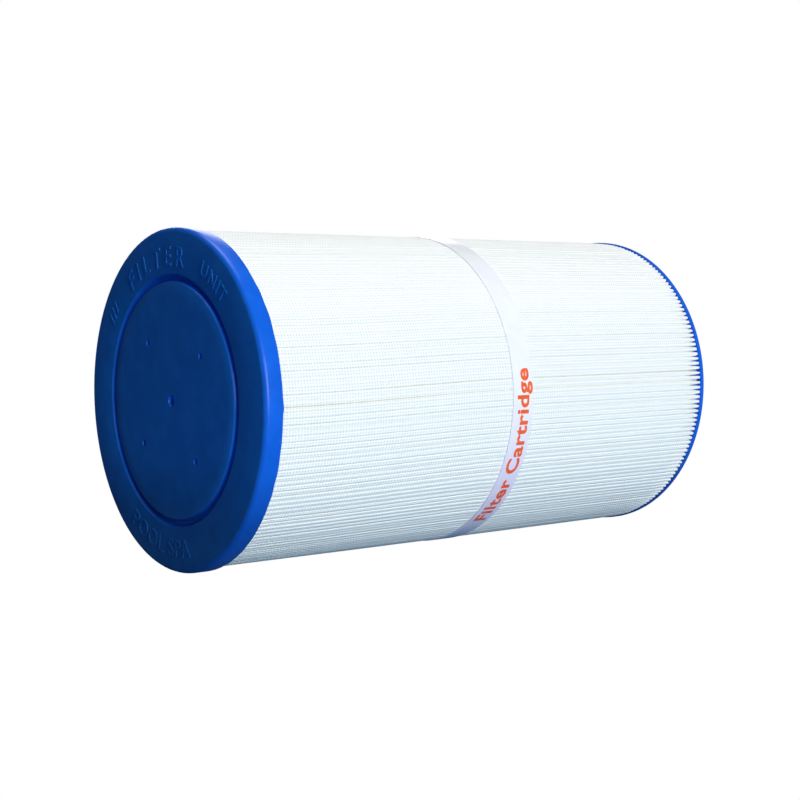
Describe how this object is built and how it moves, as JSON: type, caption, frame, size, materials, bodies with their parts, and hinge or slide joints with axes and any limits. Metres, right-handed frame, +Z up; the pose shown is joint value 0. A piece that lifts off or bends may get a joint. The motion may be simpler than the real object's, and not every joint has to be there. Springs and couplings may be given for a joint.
{
  "type": "filter cartridge",
  "caption": "Round pleated water filter cartridge with cast end caps, a perforated core, a pleat band and a threaded outlet.",
  "frame": {"origin": "on the cartridge's axis at the outlet adaptor's sealing face, where its male thread starts", "axes": "+X along the cartridge's axis, out of the threaded outlet; +Z up with the cartridge lying on its side"},
  "size_m": [0.2961, 0.1524, 0.1524],
  "materials": {
    "blue_cap": "satin",
    "pleat_fabric": "matte",
    "hot_melt": "satin",
    "band_plastic": "satin",
    "core_plastic": "satin",
    "adaptor_plastic": "satin",
    "gasket_rubber": "matte"
  },
  "bodies": {
    "cartridge": {"closed_end_cap": "blue_cap", "open_end_cap": "blue_cap", "pleated_media": "pleat_fabric", "media_seam": "hot_melt", "pleat_band": "band_plastic", "core_closed_half": "core_plastic", "core_open_half": "core_plastic", "core_plug": "core_plastic", "threaded_adaptor": "adaptor_plastic", "adaptor_gasket": "gasket_rubber"}
  },
  "joints": []
}
